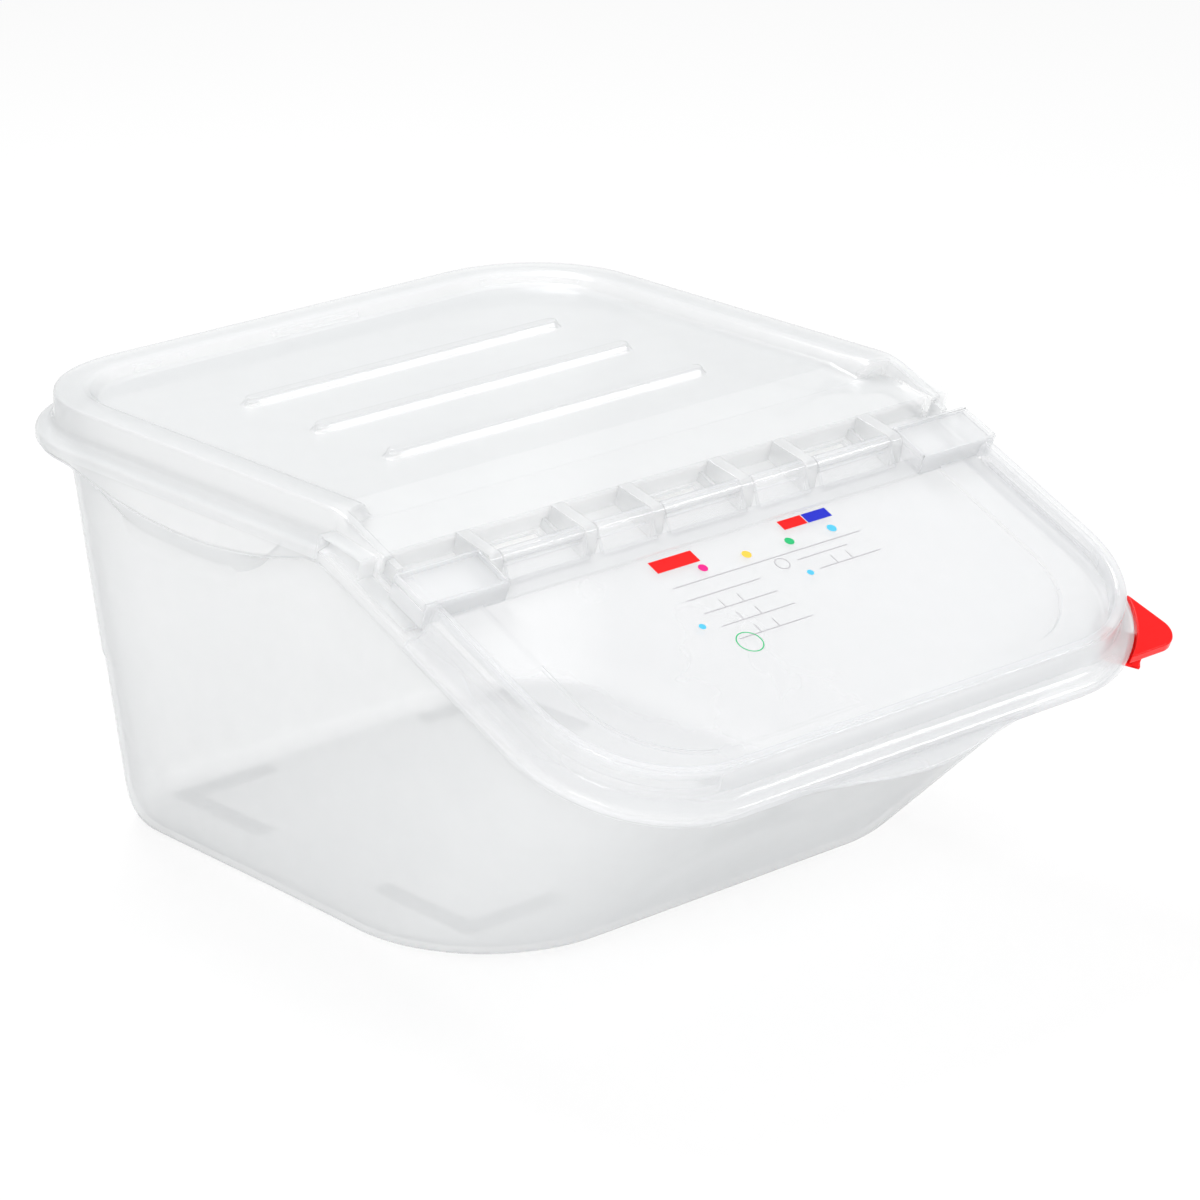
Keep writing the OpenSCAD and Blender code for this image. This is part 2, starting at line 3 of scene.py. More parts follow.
import bmesh
import bpy
import numpy as np
from mathutils import Matrix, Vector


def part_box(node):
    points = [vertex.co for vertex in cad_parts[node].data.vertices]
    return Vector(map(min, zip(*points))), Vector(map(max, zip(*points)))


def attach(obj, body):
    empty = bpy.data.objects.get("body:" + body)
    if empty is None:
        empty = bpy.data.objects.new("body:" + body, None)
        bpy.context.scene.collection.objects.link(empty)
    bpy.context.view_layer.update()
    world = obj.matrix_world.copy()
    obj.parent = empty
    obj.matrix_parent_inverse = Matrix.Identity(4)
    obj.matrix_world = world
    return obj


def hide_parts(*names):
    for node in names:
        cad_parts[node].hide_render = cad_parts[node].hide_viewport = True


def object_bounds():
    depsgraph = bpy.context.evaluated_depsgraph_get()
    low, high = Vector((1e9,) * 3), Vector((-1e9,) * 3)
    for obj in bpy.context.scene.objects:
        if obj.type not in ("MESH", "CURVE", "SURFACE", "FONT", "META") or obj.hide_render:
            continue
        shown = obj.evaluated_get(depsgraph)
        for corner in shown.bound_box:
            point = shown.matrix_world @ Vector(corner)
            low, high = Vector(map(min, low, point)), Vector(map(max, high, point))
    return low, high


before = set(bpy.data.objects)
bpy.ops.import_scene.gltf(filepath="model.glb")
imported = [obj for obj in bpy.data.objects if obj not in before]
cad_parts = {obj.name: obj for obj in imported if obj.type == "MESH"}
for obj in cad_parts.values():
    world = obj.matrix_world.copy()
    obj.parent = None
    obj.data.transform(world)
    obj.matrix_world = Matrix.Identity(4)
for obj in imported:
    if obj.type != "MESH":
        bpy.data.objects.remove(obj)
cad_low, cad_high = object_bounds()
bpy.context.scene.view_settings.view_transform = "Standard"
# A look through the bin passes many clear walls, one behind the other
bpy.context.scene.cycles.transparent_max_bounces = 40
mm = 0.001

# The camera stands to the left of the bin's front and a little above it. Its direction,
# distance and lens were fitted to the photo, whose frame is 1200 pixels square.
flange_width = 8.6 * mm
rear = cad_high.y - flange_width
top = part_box("rear_cover")[1].z
frame_pixels = 1200
focal_pixels = 4640
anchor_pixel = (592.446, 537.193)
anchor = np.array([0, rear - 211.5 * mm, top - 54.2 * mm])
azimuth, lift_angle, roll = math.radians(40.852), math.radians(19.976), -0.013
distance = 1960.8 * mm


def turned(columns, place):
    """A matrix that turns the three axes to the given directions and moves the origin to place."""
    matrix = np.eye(4)
    matrix[:3, :3] = np.stack(columns, axis=1)
    matrix[:3, 3] = place
    return Matrix(matrix.tolist())


backward = np.array([
    -math.sin(azimuth) * math.cos(lift_angle),
    -math.cos(azimuth) * math.cos(lift_angle),
    math.sin(lift_angle),
])
level_right = np.array([math.cos(azimuth), -math.sin(azimuth), 0])
level_up = np.cross(backward, level_right)
right = math.cos(roll) * level_right + math.sin(roll) * level_up
upward = np.cross(backward, right)
aside = (anchor_pixel[0] - frame_pixels / 2) / focal_pixels * distance
below = (anchor_pixel[1] - frame_pixels / 2) / focal_pixels * distance
camera_data = bpy.data.cameras.new("photo_camera")
camera_data.sensor_width = 36
camera_data.lens = focal_pixels / frame_pixels * camera_data.sensor_width
camera_data.clip_end = 20
camera = bpy.data.objects.new("photo_camera", camera_data)
bpy.context.collection.objects.link(camera)
camera.matrix_world = turned((right, upward, backward),
    anchor + distance * backward - aside * right + below * upward)
bpy.context.scene.camera = camera

# The tub is one half-clear polypropylene moulding: leaning walls with round corners, a stacking
# shoulder in the rear wall, a side grip under each long rim, and a beaded rim that follows the
# lid from its level part over the bend and down the slope.
half = 154 * mm
flat_length = 236.4 * mm
slope_length = 186.5 * mm
slope_angle = math.radians(23.4)
bend_radius = 40 * mm
lid_length = flat_length + slope_length
rear_radius = 59 * mm
front_radius = 58.5 * mm
tub_wall = 2.2 * mm
tub_o = -4.9 * mm
wall_top_n = -17.6 * mm
lip_o = 6.3 * mm
lip_n = -22.5 * mm
bead_r = 0.6 * mm
base_half = 134.3 * mm
base_rear = 22 * mm
base_front = 286 * mm
base_rear_radius = 46 * mm
base_front_radius = 66 * mm
foot_round = 10 * mm
front_round = 34 * mm
foot_height = 2 * mm
shoulder_height = 88 * mm
shoulder_depth = 2.2 * mm
grip_place = 140 * mm
grip_reach = 82.5 * mm
grip_drop = 11.5 * mm
hollow_place = 128 * mm
hollow_reach = 70 * mm
hollow_share = 0.18


def on_lid(x, s, n):
    """The lid's own coordinates as points in space: x across, s forwards along the lid from its rear
    ridge, n off its top. Past s = flat_length the lid slopes down, after an arc of bend_radius."""
    x, s, n = np.broadcast_arrays(x, s, n)
    reach = bend_radius * math.tan(slope_angle / 2)
    turn = slope_angle * np.clip((s - flat_length + reach) / (2 * reach), 0, 1)
    level = np.minimum(s, flat_length - reach)
    past = np.maximum(s - flat_length - reach, 0)
    y = rear - level - (bend_radius + n) * np.sin(turn) - past * math.cos(slope_angle)
    z = top - bend_radius + (bend_radius + n) * np.cos(turn) - past * math.sin(slope_angle)
    return np.stack([x, y, z], axis=-1)


def ease(a):
    """A smooth step from 0 to 1: 3a^2 - 2a^3, with a kept between 0 and 1."""
    a = np.clip(a, 0, 1)
    return a * a * (3 - 2 * a)


def rounded(corners, radius, steps=3, closed=False):
    """A row of corner points, or of whole lines of them, with each corner cut at radius from it and
    bridged by the parabola (1-t)^2 a + 2t(1-t) corner + t^2 b, where a and b are the two cuts."""
    before, after = np.roll(corners, 1, 0) - corners, np.roll(corners, -1, 0) - corners
    reach_before = np.linalg.norm(before, axis=-1, keepdims=True) + 1e-12
    reach_after = np.linalg.norm(after, axis=-1, keepdims=True) + 1e-12
    a = corners + before * np.minimum(radius / reach_before, 0.45)
    b = corners + after * np.minimum(radius / reach_after, 0.45)
    t = np.linspace(0, 1, steps + 1).reshape((1, -1) + (1,) * (corners.ndim - 1))
    arcs = (1 - t) ** 2 * a[:, None] + 2 * t * (1 - t) * corners[:, None] + t ** 2 * b[:, None]
    if closed:
        return arcs.reshape(-1, *corners.shape[1:])
    return np.concatenate([corners[:1], arcs[1:-1].reshape(-1, *corners.shape[1:]), corners[-1:]])


def grid_faces(rows, columns, join=False):
    """The quads of a grid of points counted row by row. With join, each row closes on itself."""
    r = np.arange(rows - 1)[:, None]
    c = np.arange(columns if join else columns - 1)[None, :]
    n = (c + 1) % columns
    corners = [r * columns + c, r * columns + n, (r + 1) * columns + n, (r + 1) * columns + c]
    return np.stack(np.broadcast_arrays(*corners), axis=-1).reshape(-1, 4)


def grid_shell(points, join=False):
    """A grid of points, rows by columns, as a shell: its points in one list, and its faces."""
    return points.reshape(-1, 3), [grid_faces(*points.shape[:2], join)]


def prism(outline, low, high, put):
    """A closed outline carried straight from low to high: put(a, b, c) places its points a, b at c."""
    a, b = np.asarray(outline, float).T
    count = len(a)
    points = np.concatenate([put(a, b, np.full(count, c)) for c in (low, high)])
    return points, [grid_faces(2, count, True), np.arange(2 * count).reshape(2, count)]


def joined(shells):
    """Several shells as one, with each one's faces counted on from the last."""
    starts = np.cumsum([0] + [len(points) for points, _ in shells])
    faces = [part + start for (_, parts), start in zip(shells, starts) for part in parts]
    return np.concatenate([points for points, _ in shells]), faces


def walled(upper, lower):
    """A closed shell between two like lists of shells: the faces of both, and a wall along each edge
    of the upper one that only one face has, once its points that lie together count as one."""
    points, parts = joined(upper)
    under = joined(lower)[0]
    _, first, index = np.unique(np.round(points * 1e7), axis=0, return_index=True, return_inverse=True)
    points, under, faces = points[first], under[first], index.ravel()[np.concatenate(parts)]
    edges = np.concatenate([faces[:, [i, (i + 1) % 4]] for i in range(4)])
    edges = edges[edges[:, 0] != edges[:, 1]]
    _, first, count = np.unique(np.sort(edges, axis=1), axis=0, return_index=True, return_counts=True)
    a, b = edges[first[count == 1]].T
    walls = np.stack([b, a, a + len(points), b + len(points)], axis=1)
    return np.concatenate([points, under]), [faces, faces[:, ::-1] + len(points), walls]


def make_piece(name, shell, material, body, node=None, sharp=40, bevel=0):
    """Turns a shell into a piece: points that lie together are merged, normals face outwards, shading
    is smooth up to an angle of sharp degrees, and sharp edges may get a bevel."""
    points, faces = shell
    mesh = bpy.data.meshes.new(name)
    mesh.from_pydata(points.tolist(), [], sum([part.tolist() for part in faces], []))
    work = bmesh.new()
    work.from_mesh(mesh)
    bmesh.ops.remove_doubles(work, verts=work.verts, dist=2e-6)
    bmesh.ops.dissolve_degenerate(work, edges=work.edges, dist=1e-7)
    bmesh.ops.recalc_face_normals(work, faces=work.faces)
    work.to_mesh(mesh)
    work.free()
    mesh.shade_smooth()
    mesh.set_sharp_from_angle(angle=math.radians(sharp))
    mesh.materials.append(material)
    piece = bpy.data.objects.new(name, mesh)
    bpy.context.collection.objects.link(piece)
    if bevel:
        edges = piece.modifiers.new("edges", "BEVEL")
        edges.width = bevel
        edges.segments = 2
        edges.limit_method = "ANGLE"
        edges.angle_limit = math.radians(sharp)
    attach(piece, body)
    if node:
        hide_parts(node)
    return piece


def add_node(material, kind, source=None, **settings):
    """Adds a node of one kind to a material, with settings for its inputs by name, and links source,
    another node's output, to its first input."""
    node = material.node_tree.nodes.new(kind)
    for key, value in settings.items():
        node.inputs[key.replace("_", " ")].default_value = value
    if source is not None:
        material.node_tree.links.new(source, node.inputs[0])
    return node


def moulded_plastic(name, tint, edge_tint_and_shade, thin, thick, roughness, cloud):
    """Half-clear moulded plastic. Seen face-on it hides a share thin of what is behind it, and seen
    edge-on a share thick; wide soft noise changes that share by cloud, and fine noise gives the surface
    its skin. Its colour darkens from tint face-on to the darker edge colour edge-on: partly the thicker
    plastic, partly painted shade standing in for the darker surroundings that clear edges show."""
    material = bpy.data.materials.new(name)
    material.use_nodes = True
    links = material.node_tree.links
    shader = material.node_tree.nodes["Principled BSDF"]
    shader.inputs["Roughness"].default_value = roughness
    shader.inputs["IOR"].default_value = 1.49
    shader.inputs["Specular IOR Level"].default_value = 0.9
    where = add_node(material, "ShaderNodeTexCoord").outputs["Object"]
    facing = add_node(material, "ShaderNodeLayerWeight", Blend=0.3).outputs["Facing"]
    # Painted shade: the colour darkens where the surface is seen edge-on, partly for the thicker plastic
    colour = add_node(material, "ShaderNodeValToRGB", facing)
    colour.color_ramp.elements[0].color = (*tint, 1)
    colour.color_ramp.elements[1].color = (*edge_tint_and_shade, 1)
    links.new(colour.outputs[0], shader.inputs["Base Color"])
    share = add_node(material, "ShaderNodeMapRange", facing, To_Min=thin, To_Max=thick)
    clouds = add_node(material, "ShaderNodeTexNoise", where, Scale=14, Detail=3)
    uneven = add_node(material, "ShaderNodeMapRange", clouds.outputs[0], To_Min=1 - cloud, To_Max=1 + cloud)
    alpha = add_node(material, "ShaderNodeMath", share.outputs[0])
    alpha.operation = "MULTIPLY"
    alpha.use_clamp = True
    links.new(uneven.outputs[0], alpha.inputs[1])
    links.new(alpha.outputs[0], shader.inputs["Alpha"])
    skin = add_node(material, "ShaderNodeTexNoise", where, Scale=700)
    bump = add_node(material, "ShaderNodeBump", Strength=0.12, Distance=0.0001)
    links.new(skin.outputs[0], bump.inputs["Height"])
    links.new(bump.outputs[0], shader.inputs["Normal"])
    return material


corner_steps = 19


def plan(width, back, front, back_radius, front_radius, sides, columns, o=0.0):
    """The right half of a round-cornered plan, o outside its edge, from the middle of its back to the
    middle of its front: columns shares the straight ends, quarter circles turn the corners, and
    sides shares the straight side."""
    angle = np.linspace(0, math.pi / 2, corner_steps)
    start, stop = back + back_radius, front - front_radius
    x = np.concatenate([
        columns[:-1] * (width - back_radius),
        width - back_radius + (back_radius + o) * np.sin(angle),
        np.full(len(sides), width + o),
        width - front_radius + (front_radius + o) * np.cos(angle),
        columns[-2::-1] * (width - front_radius),
    ])
    s = np.concatenate([
        np.full(len(columns) - 1, back - o),
        start - (back_radius + o) * np.cos(angle),
        start + (stop - start) * sides,
        stop + (front_radius + o) * np.sin(angle),
        np.full(len(columns) - 1, front + o),
    ])
    return x, s


def across(line, columns):
    """Rows that run straight across from each point of a right-hand line to its mirror image."""
    shares = np.concatenate([-columns[::-1], columns[1:]])
    rows = np.repeat(line[:, None], len(shares), axis=1)
    rows[..., 0] *= shares
    return rows


def mirrored(lines):
    """Right-hand lines of points, each one carried on through its mirror image in x."""
    return np.concatenate([lines, lines[:, ::-1] * [-1, 1, 1]], axis=1)


tub_columns = np.linspace(0, 1, 17)
side_start, side_stop = rear_radius, lid_length - front_radius
side_places = np.concatenate([
    np.linspace(side_start, flat_length - 10 * mm, 62)[1:],
    np.linspace(flat_length - 10 * mm, flat_length + 10 * mm, 15)[1:],
    np.linspace(flat_length + 10 * mm, side_stop, 12)[1:-1],
])
tub_sides = (side_places - side_start) / (side_stop - side_start)


def rim_line(o, n):
    """A line along the rim, o outside the lid's ridge and n off the lid's top."""
    x, s = plan(half, 0, lid_length, rear_radius, front_radius, tub_sides, tub_columns, o)
    return on_lid(x, s, n)


def base_line(inset, front_inset, z):
    """A line round the base at height z, inset from its sharp lower edge."""
    x, s = plan(base_half - inset, base_rear + inset, base_front - front_inset,
        base_rear_radius - inset, base_front_radius - inset, tub_sides, tub_columns)
    return np.stack([x, rear - s, np.full_like(x, z)], axis=-1)


def wall_lines(inset, floor_z, top_n, hollow):
    """Lines round one face of the wall, from the floor up. The lower edge is the parabola between the
    floor, the sharp edge and a point a tenth of the way up. Above it a line is the straight mix of
    base and rim, set in below the shoulder, and drawn down by hollow under the grips."""
    crest = rim_line(tub_o - inset, top_n)
    edge = base_line(inset, inset * 1.4, floor_z)
    floor_edge = base_line(inset + foot_round, inset * 1.4 + front_round, floor_z)
    low = edge + (crest - edge) * 0.1
    behind = (edge[:, 1:2] > rear - base_rear - base_rear_radius) * [0, 1, 0]
    step = shoulder_depth / 2
    lines = [(1 - t) ** 2 * floor_edge + 2 * t * (1 - t) * edge + t * t * low - behind * step
        for t in np.linspace(0, 1, 9)]
    middle = (shoulder_height - floor_z) / (top - floor_z)
    for t in middle + np.array([-0.02, -0.008, -0.004, 0, 0.004, 0.008, 0.02]):
        share = ease((t - middle + 0.008) / 0.016)
        lines.append(edge + (crest - edge) * t + behind * step * (share * (2 - t) - 1))
    for t in (0.7, 0.8, 0.88, 0.94, 1):
        level = (t * (1 - hollow * ease((t - 0.5) / 0.45)))[:, None]
        lines.append(edge + (crest - edge) * level + behind * step * (1 - t))
    return np.stack(lines)


rim_x, rim_s = plan(half, 0, lid_length, rear_radius, front_radius, tub_sides, tub_columns)
at_side = rim_x > half - 12 * mm
apron = at_side * np.clip(1 - ((rim_s - grip_place) / grip_reach) ** 2, 0, 1)
hollow = at_side * hollow_share * np.clip(1 - ((rim_s - hollow_place) / hollow_reach) ** 4, 0, 1) ** 0.8
outer_wall = wall_lines(0, foot_height, wall_top_n, hollow)
inner_wall = wall_lines(tub_wall, foot_height + tub_wall, wall_top_n + 0.7 * mm, np.zeros_like(hollow))
apron_edge = rim_line(lip_o, lip_n - grip_drop * apron)
inside_grip = ease(apron * 5)[:, None]
rim_keys = [outer_wall[-1]]
for o, n, share in ((3.4, -17.8, 0.3), (4.6, -18.8, 0.62), (4.6, -22.5, 0.9)):
    slanted = outer_wall[-1] + (apron_edge - outer_wall[-1]) * share
    rim_keys.append(rim_line(o * mm, n * mm) * (1 - inside_grip) + slanted * inside_grip)
rim_keys.append(apron_edge)
for o, n in ((6.3, -17.6), (5.7, -16.9), (2.3, -15.8), (-4.9, -15.5), (-4.9, -13.3), (-7.1, -13.3)):
    rim_keys.append(rim_line(o * mm, n * mm))
rim_keys.append(inner_wall[-1])
rim_lines = rounded(np.stack(rim_keys), 0.6 * mm)
tub_lines = np.concatenate([outer_wall, rim_lines[1:-1], inner_wall[::-1]])
bead_n = lip_n - grip_drop * apron
bead = np.stack([rim_line(lip_o + bead_r * math.cos(angle), bead_n + bead_r * (1 + math.sin(angle)))
    for angle in np.linspace(0, 2 * math.pi, 9)])
on_floor = slice(len(tub_columns) - 1, 1 - len(tub_columns))
tub_shells = [
    grid_shell(mirrored(tub_lines), join=True),
    grid_shell(across(tub_lines[0][on_floor], tub_columns)),
    grid_shell(across(tub_lines[-1][on_floor], tub_columns)),
    grid_shell(mirrored(bead), join=True),
]
# The second colour is the grey seen edge-on, partly painted shade
frosted = moulded_plastic("frosted_tub_plastic", (0.93, 0.935, 0.94), (0.5, 0.52, 0.53),
    thin=0.15, thick=0.85, roughness=0.2, cloud=0.12)
make_piece("tub_body", joined(tub_shells), frosted, "base", "tub")

# Four feet, each an L of two arms, keep the base off the table. They are moulded under the
# floor, where the plastic is thicker and hides more. Their darker grey colour is painted shade for
# where they stand under the bin.
foot_width = 8 * mm
foot_across = 52 * mm
foot_along = 62 * mm
foot_place = 96 * mm
foot_root = 0.4 * mm
rear_foot = rear - base_rear - foot_round - 2 * mm
front_foot = rear - base_front + front_round + 12 * mm


def upright(a, b, c):
    """An outline in x and y, carried up."""
    return np.stack([a, b, c], axis=-1)


feet = []
for side in (-1, 1):
    outer, inner = side * foot_place, side * (foot_place - foot_across)
    bar = side * (foot_place - foot_width)
    for edge_y, along in ((rear_foot, -1), (front_foot, 1)):
        near, far = edge_y + along * foot_width, edge_y + along * foot_along
        outline = [(inner, edge_y), (outer, edge_y), (outer, far), (bar, far), (bar, near), (inner, near)]
        feet.append(prism(outline, 0, foot_height + foot_root, upright))
# The feet's tint is darker than the tub's: painted shade for where they stand under the bin
shaded_thick_frosted = moulded_plastic("shaded_frosted_foot_plastic", (0.72, 0.73, 0.74), (0.45, 0.47, 0.48),
    thin=0.45, thick=0.9, roughness=0.2, cloud=0.1)
make_piece("tub_feet", joined(feet), shaded_thick_frosted, "base", bevel=0.5 * mm)

# The tub's own front lip, a low fin under the flap's lifting lip, and the small pocket under the
# rim's right front corner that the clip's tongue plugs into. Both are moulded with the tub.
lip_width = 140 * mm
tongue_width = 22 * mm
corner_x, corner_s = half - front_radius, lid_length - front_radius


def lip_outline(edge, out, root):
    """A lip along the front edge: its front is a raised cosine, edge + out cos^2, across lip_width."""
    share = np.linspace(-1, 1, 33)
    front = np.stack([share * lip_width / 2, edge + out * np.cos(share * math.pi / 2) ** 2], axis=1)
    return np.concatenate([front, [(lip_width / 2, edge - root), (-lip_width / 2, edge - root)]])


def on_corner(a, b, c):
    """An outline beside the diagonal of the right front corner: a outwards along it, b square to it."""
    return on_lid(corner_x + (a + b) / math.sqrt(2), corner_s + (a - b) / math.sqrt(2), c)


def rectangle(a, b, c, d):
    """A rectangle from a to b one way and from c to d the other."""
    return [(a, c), (b, c), (b, d), (a, d)]


pocket_root = front_radius + tub_o - 1.5 * mm
pocket_end = pocket_root + 9.5 * mm
pocket_low, pocket_high = -28.3 * mm, -17.4 * mm
pocket_floor = pocket_low + 1.6 * mm
side_in, side_out = tongue_width / 2 + 0.4 * mm, tongue_width / 2 + 2 * mm
tub_trims = [
    prism(lip_outline(lid_length + 5.8 * mm, 7.5 * mm, 0.8 * mm), -23.3 * mm, -21.5 * mm, on_lid),
    prism(rectangle(pocket_root, pocket_end, -side_out, side_out), pocket_low, pocket_floor, on_corner),
    prism(rectangle(pocket_root, pocket_end, side_in, side_out), pocket_low, pocket_high, on_corner),
    prism(rectangle(pocket_root, pocket_end, -side_out, -side_in), pocket_low, pocket_high, on_corner),
]
make_piece("tub_lip_and_pocket", joined(tub_trims), frosted, "base", bevel=0.4 * mm)

# The rear cover is one clear polypropylene moulding that sits over the level part of the rim: a
# wide ridge with an outer skirt, a recessed panel with three raised ribs, a panel that falls
# gently to a crease, and the well in which the hinge lies.
skirt_upper = np.array([
    [-1.2, 0.0], [-0.3, -0.4], [0.0, -1.6], [0.6, -11.0], [1.4, -12.8], [3.0, -13.9], [6.8, -15.0],
    [8.1, -15.8], [8.6, -17.2], [8.6, -19.5],
]) * mm
skirt_lower = np.array([
    [-2.2, -1.6], [-2.0, -1.8], [-1.6, -2.2], [-1.0, -11.5], [-0.2, -13.6], [2.4, -15.5], [6.4, -16.6],
    [7.1, -17.4], [7.2, -18.2], [7.2, -19.5],
]) * mm
wide_upper = np.array([[-21.5, -5.8], [-19.0, -5.0], [-15.5, -1.2], [-13.0, -0.2], [-10.0, 0.0]]) * mm
wide_lower = np.array([[-21.5, -7.6], [-17.9, -6.6], [-14.4, -2.8], [-12.2, -1.8], [-10.0, -1.6]]) * mm
slim_upper = np.array([[-5.8, -7.2], [-5.4, -4.0], [-5.3, -1.0], [-4.5, -0.2], [-3.5, 0.0]]) * mm
slim_lower = np.array([[-5.8, -9.0], [-4.2, -5.0], [-3.7, -2.0], [-3.2, -1.8], [-3.0, -1.6]]) * mm
panel_length = 216.5 * mm
recess_depth = 5.8 * mm
panel_wall = 1.8 * mm
crease_place = 27 * mm
cut_place = 31 * mm
cut_top = -8.6 * mm
rib_places = (87.3 + 48.5 * np.arange(3)) * mm
rib_half = 83.5 * mm
rib_width = 10 * mm
rib_height = 3.6 * mm
station_pitch = 85.7 * mm
station_width = 56 * mm
window_width = 28 * mm
window_start, window_stop = 30 * mm, 39 * mm

# Columns across the panel: close together at the ribs' round ends, and on the windows' edges
panel_half = half - 21.5 * mm
window_edges = [window_width / 2, station_pitch - window_width / 2, station_pitch + window_width / 2]
cover_columns = np.unique(np.round(np.concatenate([
    np.linspace(0, 72 * mm, 14) / panel_half,
    np.linspace(72 * mm, 92 * mm, 25) / panel_half,
    np.linspace(92 * mm, panel_half, 9) / panel_half,
    np.array(window_edges) / (half - 5.8 * mm),
]), 9))
cover_places = np.unique(np.round(np.concatenate([
    np.arange(62, 216, 4) * mm,
    (rib_places[:, None] + np.linspace(-6.2, 6.2, 23) * mm).ravel(),
    panel_length + np.array([-0.6, 0, 0.6]) * mm,
    np.linspace(220 * mm, flat_length - 3 * mm, 9),
    np.linspace(flat_length - 2.8 * mm, flat_length + 1.4 * mm, 13),
    np.linspace(flat_length + 3 * mm, flat_length + crease_place - 1 * mm, 10),
    flat_length + crease_place + np.array([-0.5, 0, 0.5, 0.9, 1.2, 1.5, 1.7, 2.0, 2.5]) * mm,
    flat_length + np.array([window_start, cut_place - 0.1 * mm, cut_place + 0.1 * mm, window_stop]),
    flat_length + np.array([33, 36, 42, 46, 50, 54, 57, 58.5, 60]) * mm,
]), 7))
cover_sides = (cover_places - side_start) / (side_stop - side_start)
cover_first = len(cover_columns) - 1
cover_count = cover_first + corner_steps + len(cover_places)


def panel_line(s):
    """The panel's height off the lid's top along s: level, then falling in a straight line to the
    crease, then down the well's wall to its floor."""
    crease = flat_length + crease_place
    ends = on_lid(0, np.array([panel_length, crease]), np.array([-recess_depth, -2 * mm]))
    share = np.clip((s - panel_length) / (crease - panel_length), 0, 1)
    gap = ends[0] + (ends[1] - ends[0]) * share[..., None] - on_lid(0, s, 0.0)
    turn = slope_angle * (s > flat_length)
    falling = gap[..., 2] * np.cos(turn) - gap[..., 1] * np.sin(turn)
    well = -np.interp(s - flat_length - crease_place, np.array([0, 0.6, 1.6, 2.0]) * mm,
        np.array([2.0, 2.6, 10.4, 11.0]) * mm)
    return np.where(s > flat_length + crease_place, well, np.where(s < panel_length, -recess_depth, falling))


def rib_rise(x, s):
    """The ribs' height above the panel: each a flat-topped bar with round ends, whose flanks are
    smooth steps of the distance from its middle line."""
    gaps = [np.hypot(np.maximum(abs(x) - rib_half, 0), s - rib_place) for rib_place in rib_places]
    return rib_height * ease((rib_width / 2 - np.min(gaps, axis=0)) / (2.6 * mm))


def cover_line(rank, wide, slim, under):
    """A line along the cover's rim for one key point of its section, wide on the level part and slim
    on the slope. The inmost points follow the panel, and past cut_place all are cut low."""
    plans = [plan(half, 0, lid_length, rear_radius, front_radius, cover_sides, cover_columns, o)
        for o in (wide[0], slim[0])]
    (x, s), (x_slim, _) = [(a[:cover_count], b[:cover_count]) for a, b in plans]
    mix = ease((s - flat_length + 2.6 * mm) / (3.8 * mm))
    inmost = panel_line(s) - under
    wide_n = inmost + wide[1] + recess_depth + under if rank < 2 else wide[1]
    slim_n = inmost if rank == 0 else np.maximum(slim[1], inmost)
    n = wide_n * (1 - mix) + slim_n * mix
    n = np.where(s > flat_length + cut_place, np.minimum(n, cut_top - under), n)
    return on_lid(x * (1 - mix) + x_slim * mix, s, n)


def cover_face(wide, slim, skirt, under):
    """One face of the cover: its rim's section as lines along the rim, and its panel as rows across
    from the inmost line, with the ribs raised on it."""
    pairs = zip(np.concatenate([wide, skirt]), np.concatenate([slim, skirt]))
    lines = rounded(np.stack([cover_line(rank, a, b, under) for rank, (a, b) in enumerate(pairs)]), 0.7 * mm)
    rows = across(lines[0][cover_first:], cover_columns)
    s = np.concatenate([np.zeros(corner_steps), cover_places])
    s[:corner_steps] = (rear - rows[:corner_steps, 0, 1])
    rows[..., 2] += rib_rise(rows[..., 0], s[:, None])
    faces = grid_faces(*rows.shape[:2])
    middle_x = abs(rows.reshape(-1, 3)[faces][..., 0].mean(axis=1))
    middle_s = np.repeat((s[:-1] + s[1:]) / 2, rows.shape[1] - 1) - flat_length
    from_station = abs(middle_x - station_pitch * (middle_x > station_pitch / 2))
    open_window = (middle_s > window_start) & (middle_s < window_stop) & (from_station < window_width / 2)
    return [grid_shell(mirrored(lines[:, ::-1])), (rows.reshape(-1, 3), [faces[~open_window]])]


# The second colour is the grey seen edge-on, partly painted shade
clear_cover = moulded_plastic("clear_cover_plastic", (0.93, 0.935, 0.94), (0.5, 0.52, 0.53),
    thin=0.2, thick=0.85, roughness=0.12, cloud=0.1)
cover_shell = walled(cover_face(wide_upper, slim_upper, skirt_upper, 0),
    cover_face(wide_lower, slim_lower, skirt_lower, panel_wall))
make_piece("cover_panel", cover_shell, clear_cover, "cover", "rear_cover", sharp=50)

# The hinge stations are moulded with the cover: two cheeks with a pin between them, and a small
# block at each end of the window. A stub closes the ridge's cut end at each side.
hinge_place = 47 * mm
hinge_n = -2 * mm
pin_r = 1.9 * mm
cheek_width = 6.5 * mm
inner_half = station_width / 2 - cheek_width
cheek = np.array([
    (26.6, -2.2), (44.0, 1.1), (47.0, 1.4), (49.4, 0.4), (50.4, -2.0), (52.0, -10.0), (52.0, -11.4),
    (26.6, -11.4),
]) * mm
well_n = -11.4 * mm
block_half = 1 * mm
pin_root = 1 * mm
stub_half = 1.8 * mm


def sideways(a, b, c):
    """An outline in the distance past the bend and n, carried across the bin."""
    return on_lid(c, flat_length + a, b)


def circle(middle_a, middle_b, radius, count=24):
    """A circle as count points."""
    angle = np.arange(count) * 2 * math.pi / count
    return np.stack([middle_a + radius * np.cos(angle), middle_b + radius * np.sin(angle)], axis=1)


